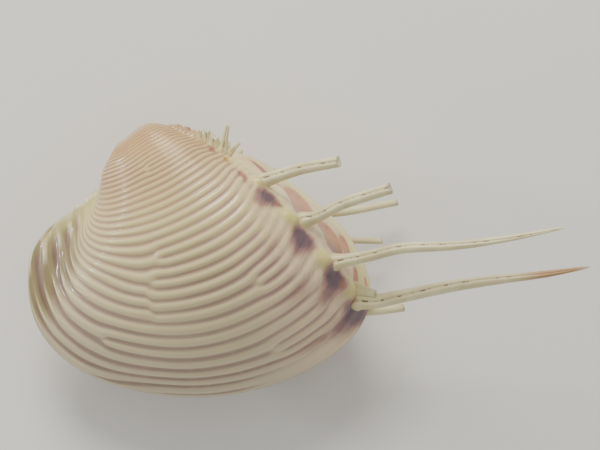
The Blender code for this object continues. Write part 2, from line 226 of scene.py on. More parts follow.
RIDGES = ((0.653, 26.0, 0.035, 1.6, 220, 1.0), (0.608, 9.2, 0.016, 0.8, 80, 1.0),
          (0.598, 19.5, 0.012, 1.2, 160, 0.9), (0.700, 15.0, 0.030, 1.2, 200, 0.8),
          (0.582, 11.5, 0.010, 0.8, 160, 0.8))
RIDGE_HEIGHT = 0.16
RIM_HEIGHT = 0.12
RIM_TURNS = (2.5, 5.5)
MARK_START = 3.0
PANELS = ((0.655, 17.0, 0.050, 5.2, 185, 1.0), (0.612, 12.6, 0.026, 3.6, 62, 1.0),
          (0.612, 6.2, 0.016, 1.6, 80, 0.9), (0.575, 6.3, 0.012, 1.0, 50, 0.8),
          (0.574, 2.2, 0.008, 0.9, 0, 0.5), (0.735, 10.0, 0.030, 2.0, 150, 0.8))
PANEL_DEPTH = 0.22
BRUISES = ((0.590, 14.0, 0.012, 3.4, 62, 0.9), (0.745, 8.0, 0.020, 2.0, 150, 0.8))
RUST = ((0.592, 38.4, 0.006, 1.8, 110, 0.9), (0.550, 13.0, 0.006, 1.0, 0, 0.7),
        (0.542, 7.4, 0.006, 1.0, 0, 0.6))

# The ligament: its two ends and its half height and half thickness at the middle.
LIGAMENT_FRONT = (-3.4, 15.3)
LIGAMENT_BACK = (3.6, 15.9)
LIGAMENT_HEIGHT = 0.48
LIGAMENT_THICKNESS = 0.40
LIGAMENT_RINGS = 90
LIGAMENT_SIDES = 36


def closed_curve(points):
    """Periodic cubic through the points: returns a function from 0..1 around the curve to (x, y)."""
    knots = np.array(points, float)
    count = len(knots)
    ring = np.vstack([knots, knots[:1]])
    span = np.hypot(*np.diff(ring, axis=0).T)
    rise = np.diff(ring, axis=0) / span[:, None]
    matrix = np.zeros((count, count))
    target = np.zeros((count, 2))
    for i in range(count):
        matrix[i, i - 1] += span[i]
        matrix[i, i] += 2 * (span[i] + span[i - 1])
        matrix[i, (i + 1) % count] += span[i - 1]
        target[i] = 3 * (span[i] * rise[i - 1] + span[i - 1] * rise[i])
    slope = np.linalg.solve(matrix, target)
    start = np.concatenate([[0.0], np.cumsum(span)])

    def at(u):
        along = np.mod(np.asarray(u, float), 1.0) * start[-1]
        i = np.clip(np.searchsorted(start, along, side="right") - 1, 0, count - 1)
        length = span[i][..., None]
        w = (along - start[i])[..., None] / length
        first, last = ring[i], ring[i + 1]
        leave, arrive = slope[i] * length, slope[(i + 1) % count] * length
        return (first * (1 + 2 * w) * (1 - w) ** 2 + leave * w * (1 - w) ** 2
                + last * w * w * (3 - 2 * w) + arrive * w * w * (w - 1))

    return at


MARGIN_CURVE = closed_curve(MARGIN)


def smooth_step(x):
    x = np.clip(x, 0.0, 1.0)
    return x * x * (3 - 2 * x)


def window(x, limits):
    """1 below the first limit, 0 above the second, smooth between them."""
    first, last = limits
    return 1 - smooth_step((x - first) / (last - first))


def band(x, limits):
    """0 outside the four limits, 1 between the inner two, smooth between."""
    rise, full, fade, end = limits
    return smooth_step((x - rise) / (full - rise)) * window(x, (fade, end))


def hills(u, t, marks, power=2.0):
    """Sum of hills exp(-|a|^p - |b|^p), a and b being the steps along and across each mark."""
    total = np.zeros(np.broadcast(u, t).shape)
    for place, turn, length, width, slope, strength in marks:
        along = (u - place) / length
        across = (t - turn + slope * (u - place)) / width
        total = total + strength * np.exp(-np.abs(along) ** power - np.abs(across) ** power)
    return total


RIPPLE_WAVES = 5


def ripple(u, t, seed, u_scale=9.0, t_scale=0.11):
    """Smooth wandering value of about -1 to 1: a sum of plane sine waves of random heading and phase."""
    random = np.random.default_rng(seed)
    total = np.zeros(np.broadcast(u, t).shape)
    for _ in range(RIPPLE_WAVES):
        a, b, phase = random.normal(0, u_scale), random.normal(0, t_scale), random.uniform(0, 2 * math.pi)
        total = total + np.sin(2 * math.pi * (a * u) / 3 + b * t + phase)
    return total / math.sqrt(RIPPLE_WAVES)


def shrink(turn):
    """Size of the outline after a turn in radians, where the margin is 1."""
    first, second, third = GROWTH_RATE
    return np.exp(-(first * turn + second * turn ** 2 / 2 + third * turn ** 3 / 6))


def grow(outline, turn):
    """Outline points turned about the growth axis, shrunk and drifted: centre + size * turned arm."""
    heading, lift = math.radians(AXIS_HEADING), math.radians(AXIS_LIFT)
    axis = np.array([math.cos(heading) * math.cos(lift), math.sin(heading) * math.cos(lift), math.sin(lift)])
    arm = np.concatenate([outline - np.array(APEX), np.zeros(outline.shape[:-1] + (1,))], axis=-1)
    angle = -turn[..., None]
    along = (arm @ axis)[..., None] * axis
    turned = along + (arm - along) * np.cos(angle) + np.cross(axis, arm) * np.sin(angle)
    drift = smooth_step(turn / math.radians(DRIFT_END))[..., None]
    centre = np.array([*APEX, 0.0]) + drift * np.array([*BEAK_DRIFT, 0.0])
    return centre + shrink(turn)[..., None] * turned


def keel_place(t):
    """Where around the margin the spine row runs at a turn in degrees."""
    return np.interp(t, KEEL_TURNS, KEEL_PLACES)


def plain_outside(u, t):
    """Outer surface without ribs: the grown outline, the keel, the cheek and the trough."""
    u, t = np.broadcast_arrays(np.asarray(u, float), np.asarray(t, float))
    points = grow(MARGIN_CURVE(u), np.radians(t))
    ramp = np.clip(t / INNER_FACE_RAMP, 0.0, 1.0)
    trough = TROUGH_DEPTH * np.exp(-((np.mod(u, 1.0) - TROUGH_MIDDLE) / TROUGH_WIDTH) ** 4)
    rest = (INNER_FACE_REST + trough) * ramp
    z = points[..., 2]
    z = 0.5 * (z + rest + np.sqrt((z - rest) ** 2 + (INNER_FACE_BLEND * ramp) ** 2))
    keel = KEEL_HEIGHT * np.exp(-((u - keel_place(t)) / KEEL_WIDTH) ** 2) * np.sqrt(shrink(np.radians(t)))
    keel = keel * smooth_step(t / KEEL_RISE) * window(t, KEEL_FADE)
    cheek = CHEEK_HEIGHT * np.exp(-((u - CHEEK_MIDDLE) / CHEEK_WIDTH) ** 2)
    cheek = cheek * (1 - window(t, CHEEK_RISE)) * window(t, CHEEK_FADE)
    points[..., :2] += keel[..., None] * np.array(KEEL_LEAN) + cheek[..., None] * np.array(CHEEK_LEAN)
    points[..., 2] = z + VALVE_GAP / 2
    return points


def hollow(u, t):
    """Hollow of a valve: the outline drawn in towards a centre, so that the wall stays even."""
    turn = np.radians(t)
    centre = np.array(HOLLOW_CENTRE)
    size = 1 - WALL / (shrink(turn)[..., None] * np.array(HOLLOW_REACH))
    points = grow(centre + (MARGIN_CURVE(u) - centre) * size, turn)
    points[..., 2] = np.maximum(points[..., 2], 0.0) + VALVE_GAP / 2
    return points


# ----------------------------------------------------------
# Relief: ribs, knobs, wrinkles. Everything is a function of u and t.
# ----------------------------------------------------------

PITCH_STEP = 0.1
PITCH_TABLE_TURNS = np.arange(-30.0, 320.0, PITCH_STEP)
PITCH_TABLE = np.cumsum(PITCH_STEP / np.interp(PITCH_TABLE_TURNS, PITCH_TURNS, PITCHES))


def unwound(u):
    """The place counted from -0.2 to 0.8, so that the front of the margin has no jump."""
    return np.where(u > 0.8, u - 1.0, u)


def growth_line(u, t):
    """Turn at which the growth line through a point crosses the belly of the valve."""
    place = unwound(u)
    ahead = np.clip(FRONT_BEND_START - place, 0.0, 0.2)
    front = FRONT_BEND_EVEN * ahead + FRONT_BEND_STEEP * (ahead / FRONT_BEND_REACH) ** FRONT_BEND_POWER
    belly = np.interp(t, BELLY_BEND_TURNS, BELLY_BENDS) * smooth_step((BELLY_END - place) / BELLY_SOFTNESS)
    late = LATE_BEND * np.clip(place - LATE_BEND_START, 0.0, 0.25) * window(t, LATE_BEND_FADE)
    lead = np.interp(t, HIND_BEND_TURNS, HIND_BEND_LEADS)
    past = (place - keel_place(t) + lead) / HIND_BEND_WIDTH
    hind = HIND_BEND * HIND_BEND_WIDTH * np.log1p(np.exp(np.clip(past, -30, 30)))
    return t + front + belly + late + hind * (1 - np.exp(-t / HIND_BEND_START))


def fork_phase(u, t, place, turn):
    """Phase that adds one groove for u > place near this turn: half the angle around the fork."""
    x = (u - place) / FORK_WIDTH
    y = np.sinh(np.clip((t - turn) / FORK_SPAN, -20, 20))
    angle = np.arctan2(x, -y * np.sqrt(1 + x * x))
    return angle / (2 * math.pi) + 0.25 + np.arctan(y) / (2 * math.pi)


def rib_phase(u, t, forks, broken, seed):
    """Count of grooves passed from the margin: whole numbers lie in the grooves."""
    phase = np.interp(growth_line(u, t), PITCH_TABLE_TURNS, PITCH_TABLE)
    phase = phase - np.interp(FIRST_GROOVE, PITCH_TABLE_TURNS, PITCH_TABLE)
    for place, turn, gain in forks:
        phase = phase + gain * fork_phase(u, t, place, turn)
    phase = phase + RIB_WANDER * ripple(u, t, seed) * band(u, (0.0, 0.1, 0.6, 0.7))
    if broken:
        away = np.abs(u - BREAK_PLACE)
        step = np.tanh((u - BREAK_PLACE) / BREAK_WIDTH) * np.exp(-away / BREAK_REACH)
        phase = phase + BREAK_STEP * step * band(t, BREAK_TURNS)
    return phase


def rib_waves(phase, sparse):
    """How deep in a groove a point is, and which way it leans.

    Where the ribs are sparse every other one is gone.
    """
    groove = np.cos(math.pi * phase) ** 2 * (1 - sparse) + np.sin(math.pi * phase / 2) ** 2 * sparse
    lean = np.sin(2 * math.pi * phase) * (1 - sparse) - np.sin(math.pi * phase) * sparse
    return groove, lean


def rib_profile(groove, front):
    """0 on a crest, 1 in a groove: groove^p, which narrows the grooves.

    On the front flank it is 1 - (1 - groove)^q, which narrows the crests instead.
    """
    narrow_crests = 1 - (1 - groove) ** FRONT_CREST_SHARPNESS
    return groove ** GROOVE_NARROWNESS * (1 - front) + narrow_crests * front


def masks(u, t):
    """Named weights from 0 to 1 that say which part of the valve a point belongs to."""
    place = unwound(u)
    keel = keel_place(t)
    past_keel = (place - keel) / 0.02
    return {
        "front": window(place, (0.105, 0.15)) * window(t, (30.0, 60.0)),
        "sparse": window(place, (0.045, 0.130)) * window(t, (44.0, 58.0)),
        "hind": smooth_step(past_keel) * window(u, (0.72, 0.78)),
        "keel": np.exp(-((u - keel) / 0.014) ** 2) * window(t, (85.0, 110.0)),
        "brink": np.exp(-((u - keel + 0.018) / 0.016) ** 2) * window(t, (50.0, 75.0)),
        "lunule": window(place, (0.035, 0.14)) * smooth_step((t - 44.0) / 16.0) * window(t, (78.0, 100.0)),
        "shoulder": window(place, (0.000, 0.070)) * window(t, (40.0, 60.0)),
        "bald": smooth_step((t - 114.0) / 12.0) * window(place, (0.40, 0.58)),
        "hinge": smooth_step((u - 0.70) / 0.05) * window(u, (0.94, 0.98)),
    }


def grid_step(values, axis):
    """Difference over one step of a grid: rows run from margin to beak, columns close around."""
    if axis == 1:
        return (np.roll(values, -1, axis=1) - np.roll(values, 1, axis=1)) / 2
    return np.gradient(values, axis=0)


def surface_facts(points, phase):
    """Outward unit normal, and the distance on the surface over which the phase grows by 1.

    With E, F, G the dot products of the grid steps, |grad phase|^2 is
    (G a^2 - 2 F a b + E b^2) / (E G - F^2), a and b being the phase steps along the two axes.
    """
    around, inward = grid_step(points, 1), grid_step(points, 0)
    normal = np.cross(around, inward)
    size = np.maximum(np.linalg.norm(normal, axis=-1), 1e-12)
    turning = np.exp(2j * math.pi * phase)
    a = (np.conj(turning) * grid_step(turning, 1)).imag / (2 * math.pi)
    b = (np.conj(turning) * grid_step(turning, 0)).imag / (2 * math.pi)
    e, f, g = (around ** 2).sum(-1), (around * inward).sum(-1), (inward ** 2).sum(-1)
    slope = (g * a * a - 2 * f * a * b + e * b * b) / np.maximum(size ** 2, 1e-12)
    return normal / size[..., None], 1 / np.sqrt(np.maximum(slope, 1 / LONGEST_RIB_STEP ** 2))


def ribbed_outside(u, t, side_facts):
    """Outer surface with its relief, and the weights that the finish reads.

    The plain surface moves along its normal: in by depth * groove profile, out by the knobs. Where the
    shell is thin, by the margin, the crests stand out instead of the grooves going in.
    """
    forks, broken, seed = side_facts
    where = masks(u, t)
    phase = rib_phase(u, t, forks, broken, seed)
    wave, leaning = rib_waves(phase, where["sparse"])
    groove = rib_profile(wave, where["front"])
    plain = plain_outside(u, t)
    normal, step = surface_facts(plain, phase)
    lip, by_lip = lunule_lip(u, t, seed + 2)
    knob, panel, stain = hills(u, t, KNOBS, 2.6), hills(u, t, PANELS, 2.6), hills(u, t, STAINS)
    fade = np.ones(t.shape)
    for part, share in CALM.items():
        fade = fade * (1 - share * where[part])
    for place, turn, _ in forks:
        fade = fade * (1 - FORK_CALM * np.exp(-(2 * (u - place) / FORK_WIDTH) ** 2 - ((t - turn) / 2) ** 2))
    thread, by_thread = threads(u, t, phase)
    fade = fade * (1 - THREAD_CALM * by_thread * smooth_step((u - 0.3) / 0.1))
    fade = fade * (1 - np.clip(knob, 0, 1)) * (1 - LIP_CALM * by_lip)
    fade = fade * (1 - BEAK_CALM * smooth_step((t - 85.0) / 25.0)) * window(t, (120.0, 160.0))
    fade = fade * (1 - MARGIN_CALM * smooth_step((u - 0.34) / 0.10) * window(t, (3.0, 7.0)))
    fade = fade * (1 + RIB_UNEVENNESS * ripple(u, t, seed + 1)) * smooth_step(t / 1.6)
    depth = RIB_DEPTH * step * fade * (1 + FRONT_RIB_EXTRA * where["front"])
    ridge = hills(u, t, RIDGES)
    rim = where["hind"] * window(t, RIM_TURNS)
    lift = window(plain[..., 2], THIN_SHELL)
    rise = KNOB_HEIGHT * knob + THREAD_HEIGHT * step * thread + depth * (lift - groove)
    rise = rise + keel_lift(u, t)
    rise = rise - STAIN_DEPTH * np.clip(stain, 0, 1) - PANEL_DEPTH * panel * smooth_step(t / MARK_START)
    rise = rise + (RIDGE_HEIGHT * ridge + RIM_HEIGHT * rim) * smooth_step(t / MARK_START)
    points = plain + rise[..., None] * normal + lip[..., None] * np.array(LIP_LEAN)
    points[..., 2] = np.maximum(points[..., 2], VALVE_GAP / 2)
    weights = {
        "groove": wave * np.clip(fade, 0, 1),
        "lean": 0.5 + 0.5 * leaning * np.clip(fade, 0, 1),
        "stain": np.clip(stain, 0, 1.3),
        "knob": np.clip(knob * 1.1, 0, 1),
        "panel": np.clip(panel, 0, 1),
        "rim": rim,
        "ridge": np.clip(ridge, 0, 1),
        "thread": thread,
        "lip": by_lip,
        "hindward": smooth_step((u - 0.40) / 0.13) * window(t, (45.0, 80.0)),
    }
    weights.update({part: where[part] for part in ("hind", "front", "shoulder", "bald", "lunule")})
    flat_marks = {"spot": SPOTS, "ochre": OCHRE, "bruise": BRUISES, "rust": RUST}
    weights.update({key: np.clip(hills(u, t, marks), 0, 1) for key, marks in flat_marks.items()})
    return points, weights


def threads(u, t, phase):
    """Fine wavy threads, three to a rib, and the zone they fill, each from 0 to 1.

    They lie behind the front flank and before the spine row.
    """
    wave = np.sin(2 * math.pi * (3 * phase + 0.3 * ripple(u, t, 5, u_scale=60.0, t_scale=0.3)))
    zone = np.clip(hills(u, t, THREADS), 0, 1)
    return (0.5 + 0.5 * wave) * zone, zone


def lunule_lip(u, t, seed):
    """Height of the scaly lip, and how far a point belongs to it: height * bell across * scale along.

    Each scale stands up at once at its end by the margin and sinks slowly towards the beak.
    """
    random = np.random.default_rng(seed)
    place = np.mod(unwound(u) + 0.5, 1.0) - 0.5
    width = LIP_WIDTH * np.where(t > 60, LIP_BEAK_WIDENING, 1.0)
    across = (place - np.interp(t, LIP_TURNS, LIP_PLACES)) / width
    bell = np.exp(-np.abs(across) ** 2.4) * window(t, (104.0, 118.0))
    count = np.interp(t, LIP_TURNS, LIP_COUNTS)
    number = np.floor(count).astype(int)
    sizes = 1 + 0.3 * random.uniform(-1, 1, number.max() + 1)
    fraction = count - number
    scale = (1 - fraction) * smooth_step(fraction / 0.08) * sizes[number]
    return np.interp(t, LIP_TURNS, LIP_HEIGHTS) * bell * (0.62 + 0.55 * scale), bell * (t > 5)


def keel_lift(u, t):
    """Extra height of the keel where the early spines stand, uneven towards the beak."""
    uneven = 1 + 0.16 * (np.sin(t * 1.9) + np.sin(t * 0.83 + 1)) * smooth_step((t - 76.0) / 8.0)
    crest = np.exp(-((u - keel_place(t) + 0.004) / 0.014) ** 2)
    return 0.5 * crest * band(t, (44.0, 56.0, 98.0, 112.0)) * uneven


# ----------------------------------------------------------
# Meshes
# ----------------------------------------------------------


def rest_matrix():
    """Turn from the valve frame to the way the shell lies."""
    about_x, about_y = math.radians(REST_TURN_X), math.radians(REST_TURN_Y)
    turn_x = np.array([[1, 0, 0], [0, math.cos(about_x), -math.sin(about_x)],
                       [0, math.sin(about_x), math.cos(about_x)]])
    turn_y = np.array([[math.cos(about_y), 0, math.sin(about_y)], [0, 1, 0],
                       [-math.sin(about_y), 0, math.cos(about_y)]])
    return turn_y @ turn_x


def find_contact():
    """Lowest point of the right valve's plain dome as the shell lies, in the turned frame."""
    t, u = np.meshgrid(np.linspace(10, 110, 201), np.linspace(0.2, 0.6, 161), indexing="ij")
    dome = plain_outside(u, t) * np.array([1, 1, -1])
    lying = dome.reshape(-1, 3) @ rest_matrix().T
    return lying[lying[:, 2].argmin()]


REST_MATRIX = rest_matrix()
CONTACT = find_contact()


def to_row(points):
    """Valve frame in millimetres to the row frame in metres: the worn flat's middle is the origin."""
    lying = np.asarray(points, float) @ REST_MATRIX.T - CONTACT
    lying[..., 2] -= FLAT_CUT
    return lying * MM


def grid_quads(rows, columns, offset=0):
    """Quads between neighbouring closed rings, as an array: row and column indices, wrapped around."""
    row, column = np.meshgrid(np.arange(rows - 1), np.arange(columns), indexing="ij")
    beside = (column + 1) % columns
    low, high = offset + row * columns, offset + (row + 1) * columns
    return np.stack([low + column, low + beside, high + beside, high + column], axis=-1).reshape(-1, 4)


def fan(start, columns, middle):
    """Triangles from one ring to a middle point."""
    column = np.arange(columns)
    return np.stack([start + column, start + (column + 1) % columns, np.full(columns, middle)], axis=-1)


def mesh_object(name, points, quads, triangles, weights, uv=None):
    """One object at the origin from arrays, with smooth faces and one float attribute for each weight."""
    mesh = bpy.data.meshes.new(name)
    corners = np.concatenate([quads.ravel(), triangles.ravel()]).astype(np.int32)
    totals = np.concatenate([np.full(len(quads), 4), np.full(len(triangles), 3)]).astype(np.int32)
    starts = np.concatenate([[0], np.cumsum(totals)[:-1]]).astype(np.int32)
    mesh.vertices.add(len(points))
    mesh.vertices.foreach_set("co", np.asarray(points, np.float32).ravel())
    mesh.loops.add(len(corners))
    mesh.loops.foreach_set("vertex_index", corners)
    mesh.polygons.add(len(totals))
    mesh.polygons.foreach_set("loop_start", starts)
    mesh.polygons.foreach_set("loop_total", totals)
    mesh.update(calc_edges=True)
    mesh.validate()
    mesh.shade_smooth()
    for key, values in weights.items():
        layer = mesh.attributes.new(key, "FLOAT", "POINT")
        layer.data.foreach_set("value", np.asarray(values, np.float32).ravel())
    if uv is not None:
        layer = mesh.uv_layers.new(name="growth")
        layer.data.foreach_set("uv", np.asarray(uv, np.float32)[corners].ravel())
    made = bpy.data.objects.new(name, mesh)
    bpy.context.scene.collection.objects.link(made)
    return made


def even_steps(density, count):
    """Places from 0 to 1 whose spacing follows 1 / density, by inverting the running sum."""
    x = np.linspace(0, 1, 4001)
    total = np.concatenate([[0], np.cumsum((density(x[1:]) + density(x[:-1])) / 2)])
    return np.interp(np.linspace(0, total[-1], count), total, x)


def column_density(u):
    keel = np.exp(-((u - 0.59) / 0.07) ** 2)
    cheek = np.exp(-((u - 0.12) / 0.09) ** 2)
    hinge = band(u, (0.70, 0.76, 0.90, 0.97))
    lip = np.exp(-((u - 0.015) / 0.03) ** 2) + np.exp(-((u - 1.0) / 0.03) ** 2)
    return 1 + 1.1 * keel + 0.5 * cheek - 0.62 * hinge + 0.8 * lip


def row_density(x):
    t = x * LAST_TURN
    return 1 / np.interp(t, PITCH_TURNS, PITCHES) * (1 - 0.45 * smooth_step((t - 112) / 30))


def valve(name, side, side_facts):
    """One valve: ribbed outside from margin to beak, flat margin, and the hollow drawn in from it."""
    u = even_steps(column_density, COLUMNS + 1)[:-1]
    t_out = even_steps(row_density, OUTSIDE_ROWS) * LAST_TURN
    t_in = np.linspace(0, HOLLOW_LAST_TURN, HOLLOW_ROWS)
    grid_u, grid_t = np.meshgrid(u, t_out)
    outer, weights = ribbed_outside(grid_u, grid_t, side_facts)
    inner_u, inner_t = np.meshgrid(u, t_in)
    inner = hollow(inner_u, inner_t)
    beak, roof = outer[-1].mean(axis=0), inner[-1].mean(axis=0)
    points = np.vstack([outer.reshape(-1, 3), inner.reshape(-1, 3), beak, roof])
    points[:, 2] *= side
    points = to_row(points)
    points[:, 2] = np.maximum(points[:, 2], 0.0)
    inner_start = OUTSIDE_ROWS * COLUMNS
    beak_index = inner_start + HOLLOW_ROWS * COLUMNS
    column = np.arange(COLUMNS)
    beside = (column + 1) % COLUMNS
    rim = np.stack([inner_start + column, inner_start + beside, beside, column], axis=-1)
    quads = np.vstack([grid_quads(OUTSIDE_ROWS, COLUMNS),
                       grid_quads(HOLLOW_ROWS, COLUMNS, inner_start)[:, ::-1], rim])
    fans = np.vstack([fan((OUTSIDE_ROWS - 1) * COLUMNS, COLUMNS, beak_index),
                      fan(beak_index - COLUMNS, COLUMNS, beak_index + 1)[:, ::-1]])
    if side < 0:
        quads, fans = quads[:, ::-1], fans[:, ::-1]
    rest = HOLLOW_ROWS * COLUMNS + 2
    weights = {key: np.concatenate([value.ravel(), np.zeros(rest)]) for key, value in weights.items()}
    weights["inside"] = np.concatenate([np.zeros(inner_start), np.ones(rest)])
    line = growth_line(grid_u, grid_t) / 180
    uv = np.vstack([np.stack([unwound(grid_u), line], axis=-1).reshape(-1, 2),
                    np.stack([inner_u, inner_t / 180], axis=-1).reshape(-1, 2), [[0.5, 1.0], [0.5, 0.5]]])
    return mesh_object(name, points, quads, fans, weights, uv)


def catmull(stations, x):
    """Catmull-Rom curve through the stations at the real places x, 0 at the first station."""
    count = len(stations)
    ends = np.vstack([2 * stations[0] - stations[1], stations, 2 * stations[-1] - stations[-2]])
    i = np.clip(x.astype(int), 0, count - 2)
    w = (x - i)[:, None]
    before, first, last, after = ends[i], ends[i + 1], ends[i + 2], ends[i + 3]
    return 0.5 * (2 * first + (last - before) * w + (2 * before - 5 * first + 4 * last - after) * w ** 2
                  + (3 * first - before - 3 * last + after) * w ** 3)


def spine(name, kind, side, place, turn, stations, seed):
    """One spine: rings along a smooth curve.

    Each ring is a circle, a little wider towards the root, pinched along a seam on its upper side, and
    wavy with growth. A pointed spine closes to a tip; a broken one ends in a ragged, hollowed face.
    """
    random = np.random.default_rng(seed)
    base = plain_outside(place, turn)
    around, inward = plain_outside(place + 0.001, turn) - base, plain_outside(place, turn + 0.06) - base
    leave = np.cross(around, inward)
    leave = leave / np.linalg.norm(leave)
    base = base + keel_lift(place, turn) * leave
    stations = np.array(stations, float)
    stations = np.vstack([[*(-SPINE_ROOT * leave), stations[0, 3]], stations])
    length = np.linalg.norm(np.diff(stations[:, :3], axis=0), axis=1).sum()
    rings = max(14, int(length * SPINE_RINGS_PER_MM))
    curve = catmull(stations, np.linspace(0, len(stations) - 1, rings))
    path = base + curve[:, :3]
    path[:, 2] *= side
    along = np.gradient(path, axis=0)
    along /= np.linalg.norm(along, axis=1)[:, None]
    across = np.cross(along, (0.0, 0.0, 1.0))
    across /= np.linalg.norm(across, axis=1)[:, None]
    up = np.cross(across, along)
    distance = np.concatenate([[0], np.cumsum(np.linalg.norm(np.diff(path, axis=0), axis=1))])
    pointed = name in POINTED
    angle = 2 * math.pi * np.arange(SPINE_SIDES) / SPINE_SIDES
    seam_angle = math.pi / 2 * side + 0.25 + 0.25 * np.sin(distance / 6.0 + seed)[:, None]
    off_seam = np.angle(np.exp(1j * (angle[None] - seam_angle)))
    s = distance[:, None]
    seam = np.exp(-(off_seam / SEAM_WIDTH) ** 2) * (kind not in SEAMLESS)
    lip = np.exp(-((np.abs(off_seam) - SEAM_LIP_ANGLE) / SEAM_LIP_WIDTH) ** 2)
    growth = 0.012 * np.sin(s * 5.1 + 0.6 * np.cos(angle[None]) + seed) + 0.008 * np.sin(s * 11.3 + seed)
    flare = SPINE_FLARE * np.exp(-np.clip(s - SPINE_ROOT, 0, None) / 0.9)
    radius = curve[:, 3][:, None] * (1 + flare + growth - SEAM_DEPTH * seam + SEAM_LIP_HEIGHT * lip)
    if pointed:
        radius = radius * np.sqrt(np.clip((distance[-1] - s) / SPINE_TAPER_LENGTH, 0.02, 1.0))
    wide, end_radius = FLATTENED.get(kind, 1.0), curve[-1, 3]
    points = path[:, None] + radius[..., None] * (across[:, None] * wide * np.cos(angle)[None, :, None]
                                                  + up[:, None] * np.sin(angle)[None, :, None])
    if not pointed:
        ragged = random.normal(0, 1.0, SPINE_SIDES)
        ragged = np.convolve(np.tile(ragged, 3), np.ones(5) / 5, "same")[SPINE_SIDES:2 * SPINE_SIDES]
        points[-1] += END_RAGGEDNESS * end_radius * ragged[:, None] * along[-1]
        points[-1] += END_PRONG * (kind in PRONGED) * end_radius * np.cos(2 * angle)[:, None] * along[-1]
    rows = [points]
    for k in range(1, SPINE_END_ROWS + 1):
        inset = 1 - k / (SPINE_END_ROWS + 1)
        sink = (TIP_BULGE if pointed else -END_HOLLOW) * end_radius * (1 - inset ** 2)
        rows.append((path[-1] + (points[-1] - path[-1]) * inset + sink * along[-1])[None])
    end = path[-1:] - END_HOLLOW * (not pointed) * end_radius * along[-1]
    points = np.vstack([row.reshape(-1, 3) for row in rows] + [path[:1], end])
    ring_count = rings + SPINE_END_ROWS
    quads = grid_quads(ring_count, SPINE_SIDES)
    fans = np.vstack([fan(0, SPINE_SIDES, ring_count * SPINE_SIDES)[:, ::-1],
                      fan((ring_count - 1) * SPINE_SIDES, SPINE_SIDES, ring_count * SPINE_SIDES + 1)])
    share = (distance / distance[-1])[:, None]
    full = np.ones((rings, SPINE_SIDES))
    tail = SPINE_END_ROWS * SPINE_SIDES
    broken = 0.0 if pointed else 1.0
    near_root = np.exp(-np.clip(s - SPINE_ROOT, 0, None) / 1.6)
    # Each weight on the rings, then on the rows of the end face, at the root's middle and at the end's.
    parts = {
        "seam": (seam, 0.0, 0.0, 0.0),
        "along": (s, distance[-1], 0.0, distance[-1]),
        "tip": (share, 1.0, 0.0, 1.0),
        "root": (near_root, 0.0, 1.0, 0.0),
        "broken": (0.0, broken, 0.0, broken),
    }
    weights = {key: np.concatenate([(on_rings * full).ravel(), np.full(tail, on_end), [at_root, at_end]])
               for key, (on_rings, on_end, at_root, at_end) in parts.items()}
    return mesh_object(name, to_row(points), quads, fans, weights)


def ligament_strip():
    """The ligament: a flattened ring along a line, swelling as a half ellipse, with fine cross wrinkles."""
    rings, sides = LIGAMENT_RINGS, LIGAMENT_SIDES
    front, back = np.array(LIGAMENT_FRONT), np.array(LIGAMENT_BACK)
    step = np.linspace(0, 1, rings)
    middle = front + (back - front) * step[:, None]
    swell = np.sqrt(np.clip(1 - (2 * step - 1) ** 2, 0.04, 1.0))
    wrinkle = 1 + 0.05 * np.sin(step * 150) + 0.03 * np.sin(step * 67 + 1)
    angle = 2 * math.pi * np.arange(sides) / sides
    across = np.array([-(back - front)[1], (back - front)[0]]) / np.linalg.norm(back - front)
    height = LIGAMENT_HEIGHT * (swell * wrinkle)[:, None] * np.sin(angle)
    thick = LIGAMENT_THICKNESS * (swell * wrinkle)[:, None] * np.cos(angle)
    plane = middle[:, None] + height[..., None] * across
    points = np.concatenate([plane, thick[..., None]], axis=-1).reshape(-1, 3)
    points = np.vstack([points, [[*front, 0.0], [*back, 0.0]]])
    quads = grid_quads(rings, sides)
    fans = np.vstack([fan(0, sides, rings * sides)[:, ::-1],
                      fan((rings - 1) * sides, sides, rings * sides + 1)])
    return mesh_object("ligament_strip", to_row(points), quads, fans, {})


# ----------------------------------------------------------
# Finishes
# ----------------------------------------------------------


class Number:
    """A shader socket that arithmetic is written with: each operator adds its Math node."""

    def __init__(self, finish, socket):
        self.finish, self.socket = finish, socket

    def math(self, operation, *values):
        return Number(self.finish, self.finish.node("ShaderNodeMath", {"operation": operation},
                                                    dict(enumerate(values))).outputs[0])

    def __add__(self, other):
        return self.math("ADD", self, other)

    def __sub__(self, other):
        return self.math("SUBTRACT", self, other)

    def __rsub__(self, other):
        return self.math("SUBTRACT", other, self)

    def __mul__(self, other):
        return self.math("MULTIPLY", self, other)

    __radd__ = __add__
    __rmul__ = __mul__

    def clamp(self):
        return Number(self.finish, self.finish.node("ShaderNodeClamp", {}, {0: self}).outputs[0])

    def ramp(self, low, high):
        """0 at low, 1 at high, smooth between."""
        node = self.finish.node("ShaderNodeMapRange", {"interpolation_type": "SMOOTHSTEP"},
                                {"Value": self, "From Min": low, "From Max": high})
        return Number(self.finish, node.outputs[0])


